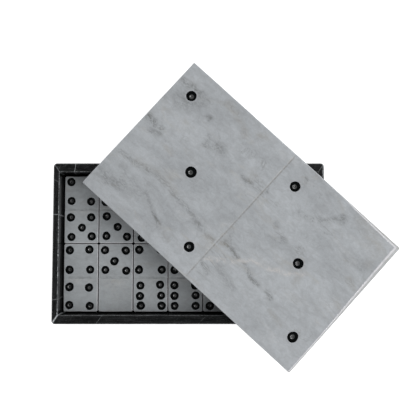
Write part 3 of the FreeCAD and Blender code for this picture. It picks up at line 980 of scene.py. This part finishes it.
def black_marble():
    """Polished black marble: near black, drawn-out grey streaks, sawn lines, thin white veins,
    pale glue in the mitres and rubbed, chipped arrises, painted lighter as wear and as
    painted highlights, with a painted highlight line along the right wall's rim."""
    g = Graph("black_marble")
    stone, wear_and_highlight, greying, _, glue = g.attributes()

    clouds = g.noise(stone, 15, 5, 0.6, 0.5, (2, 1, 1))
    colour = g.blend(g.ramp(clouds, 0.3, 0.7), grey(0.0035, COOL), grey(0.008, COOL))
    streaks = g.noise(stone, 1.6, 6, 0.75, 0.5, (8, 0.5, 0.8), 3)
    colour = g.blend(g.ramp(streaks, 0.48, 0.72), colour, grey(0.03, COOL))
    specks = g.noise(stone, 0.8, 3, 0.7, 0, (1.6, 1, 1))
    colour = g.blend(g.ramp(specks, 0.56, 0.72, 0, 0.7), colour, grey(0.055, COOL))
    film = g.ramp(g.noise(stone, 4, 5, 0.7, 0.5, (2.5, 0.8, 1)), 0.35, 0.7, 0.05, 0.6)
    colour = g.blend(g.math("MULTIPLY", film, greying), colour, grey(0.045, COOL))

    wobble = g.noise(stone, 5, 4, 0.65)
    frayed = g.ramp(g.noise(stone, 1.5, 4, 0.7), 0.3, 0.55)
    veins = 0.0
    for vein in BLACK_VEINS:
        veins = g.math("MAXIMUM", veins, vein_mask(g, stone, *vein, wobble))
    course = g.noise(stone, 24, 6, 0.6, 1.0)
    hair = g.ramp(g.math("ABSOLUTE", g.math("SUBTRACT", course, 0.52)), 0.0, 0.006, 0.4, 0)
    hair = g.math("MULTIPLY", hair, g.ramp(g.noise(stone, 18, 2), 0.5, 0.62))
    veins = g.math("MULTIPLY", g.math("MAXIMUM", veins, hair), frayed)
    colour = g.blend(veins, colour, grey(0.32, COOL))

    chipped = g.noise(stone, 1.3, 5, 0.75)
    patchy = g.ramp(g.noise(stone, 11, 3, 0.6), 0.35, 0.6, 0.2, 1.0)
    # Arrises painted lighter, partly as wear and chips and partly as painted highlights, and the right
    # wall's painted highlight line along its rim
    wear_and_painted_light = g.math("MULTIPLY", wear_and_highlight, g.ramp(chipped, 0.44, 0.56, 0.12, 1.0))
    wear_and_painted_light = g.math("MULTIPLY", wear_and_painted_light, patchy)
    colour = g.blend(g.math("MULTIPLY", wear_and_painted_light, 0.95), colour, grey(0.5, COOL))
    seam = g.math("MULTIPLY", g.ramp(glue, 0.05, 0.6), g.ramp(chipped, 0.35, 0.55, 0.25, 1.0))
    colour = g.blend(seam, colour, grey(0.55, COOL))

    roughness = g.ramp(g.noise(stone, 4, 5, 0.65), 0.25, 0.75, 0.12, 0.24)
    roughness = g.math("ADD", roughness, g.math("MULTIPLY", wear_and_painted_light, 0.25), clamp=True)
    height = g.math("ADD", g.math("MULTIPLY", chipped, wear_and_painted_light), g.math("MULTIPLY", streaks, 0.2))
    return g.finish(colour, roughness, height, 0.05)


def pip_enamel():
    """Black gloss enamel, brushed in by hand: faint ripples, specks, and a painted highlight
    ring round the dimple."""
    g = Graph("pip_enamel")
    stone, _, _, _, painted_light = g.attributes()
    patches = g.noise(stone, 1.6, 4, 0.6)
    colour = g.blend(g.ramp(patches, 0.3, 0.7), (0.0009, 0.0016, 0.0016, 1), (0.003, 0.0038, 0.004, 1))
    greying = g.ramp(g.noise(stone, 0.35, 2, 0.6), 0.7, 0.8, 0, 0.35)
    colour = g.blend(greying, colour, grey(0.03, COOL))
    # The painted highlight ring round the dimple
    ring_highlight = g.math("MULTIPLY", painted_light, g.ramp(g.noise(stone, 2.0, 3, 0.6), 0.4, 0.6, 0.25, 1.0))
    colour = g.blend(ring_highlight, colour, grey(0.05, COOL))
    roughness = g.ramp(g.noise(stone, 0.9, 4, 0.65), 0.3, 0.7, 0.05, 0.11)
    ripples = g.noise(stone, 1.1, 3, 0.5, 0.5)
    g.put(g.shader.inputs["IOR"], 1.7)
    return g.finish(colour, roughness, ripples, 0.01)


def studio_floor():
    """Plain pale paper, lit evenly enough to read as near white."""
    g = Graph("studio_floor")
    place = g.node("TexCoord", {}).outputs["Object"]
    fibres = g.node("TexNoise", {"Vector": place, "Scale": 60.0, "Detail": 3.0}).outputs[0]
    colour = g.blend(g.ramp(fibres, 0.3, 0.7), grey(0.5), grey(0.52))
    g.put(g.shader.inputs["Emission Color"], grey(1.0))
    g.put(g.shader.inputs["Emission Strength"], FLOOR_GLOW)
    return g.finish(colour, 0.9, fibres, 0.02)


# ---------------------------------------------------------------------------------------
# Studio
# ---------------------------------------------------------------------------------------

FLOOR_GLOW = 0.88
CAMERA_PLACE = (13.88, -3.88, 448.0)
CAMERA_TILT = 3.733
CAMERA_LENS = 53.72
SENSOR = 36.0
LAMP_SIZE = (70, 1700)
LAMP_PLACE = (650, 50, 950)
LAMP_WATTS = 4.0
# The sky's brightness from overhead (0) to the horizon (1), and how much brighter its
# right side is than its left
SKY = [(0.0, 0.02), (0.055, 0.02), (0.13, 0.86), (0.5, 0.94), (1.0, 0.86)]
SKY_SLOPE = 0.6


def studio_plane():
    """The pale floor that the box stands on."""
    half = 3000 * MM
    mesh = bpy.data.meshes.new("studio_floor")
    corners = [(-half, -half, 0), (half, -half, 0), (half, half, 0), (-half, half, 0)]
    mesh.from_pydata(corners, [], [(0, 1, 2, 3)])
    mesh.materials.append(studio_floor())
    floor = bpy.data.objects.new("studio_floor", mesh)
    bpy.context.scene.collection.objects.link(floor)


def camera():
    """Nearly straight above the box, leaning a little towards the far side."""
    data = bpy.data.cameras.new("camera")
    data.sensor_width = SENSOR
    data.lens = CAMERA_LENS
    data.clip_start, data.clip_end = 0.01, 20.0
    placed = bpy.data.objects.new("camera", data)
    x, y, above_rim = CAMERA_PLACE
    placed.location = Vector((x, y, RIM + above_rim)) * MM
    placed.rotation_euler = (math.radians(CAMERA_TILT), 0, 0)
    bpy.context.scene.collection.objects.link(placed)
    bpy.context.scene.camera = placed


def lamp():
    """A long soft box to the right of the set, lying from near to far."""
    data = bpy.data.lights.new("soft_box", "AREA")
    data.shape = "RECTANGLE"
    data.size, data.size_y = (side * MM for side in LAMP_SIZE)
    data.energy = LAMP_WATTS
    placed = bpy.data.objects.new("soft_box", data)
    placed.location = Vector(LAMP_PLACE) * MM
    placed.rotation_euler = (-placed.location).to_track_quat("-Z", "X").to_euler()
    bpy.context.scene.collection.objects.link(placed)


def sky():
    """Light from all sides, with a dark patch overhead where the camera's arm hangs."""
    world = bpy.data.worlds.new("studio")
    world.use_nodes = True
    bpy.context.scene.world = world
    nodes, links = world.node_tree.nodes, world.node_tree.links
    place = nodes.new("ShaderNodeTexCoord")
    split = nodes.new("ShaderNodeSeparateXYZ")
    links.new(place.outputs["Generated"], split.inputs[0])
    down = nodes.new("ShaderNodeMath")
    down.operation = "SUBTRACT"
    down.inputs[0].default_value = 1.0
    links.new(split.outputs[2], down.inputs[1])
    ramp = nodes.new("ShaderNodeValToRGB")
    links.new(down.outputs[0], ramp.inputs[0])
    stops = ramp.color_ramp.elements
    while len(stops) < len(SKY):
        stops.new(0.5)
    for stop, (position, level) in zip(stops, SKY):
        stop.position = position
        stop.color = (level, level, level, 1)
    links.new(ramp.outputs[0], nodes["Background"].inputs["Color"])
    slope = nodes.new("ShaderNodeMath")
    slope.operation = "MULTIPLY_ADD"
    links.new(split.outputs[0], slope.inputs[0])
    slope.inputs[1].default_value = SKY_SLOPE
    slope.inputs[2].default_value = 1.0
    links.new(slope.outputs[0], nodes["Background"].inputs["Strength"])


LID_MARBLE = white_marble(
    "lid_marble", light=0.46, dark=0.38, tint=(0.96, 1.0, 1.04),
    streaks=0.3, veins_below=0.012, wear_and_highlight_colour=0.62,
)
DOMINO_MARBLE = white_marble(
    "domino_marble", light=0.41, dark=0.35, tint=(0.95, 1.0, 1.03),
    streaks=0.25, veins_below=0.01, wear_and_highlight_colour=0.6,
)
BLACK_MARBLE = black_marble()
PIP_ENAMEL = pip_enamel()

box_floor()
box_walls()
for node_name in sorted(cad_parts):
    if node_name.startswith("tile_"):
        domino(node_name)
lid()
studio_plane()
camera()
lamp()
sky()

bpy.context.scene.view_settings.view_transform = "Standard"
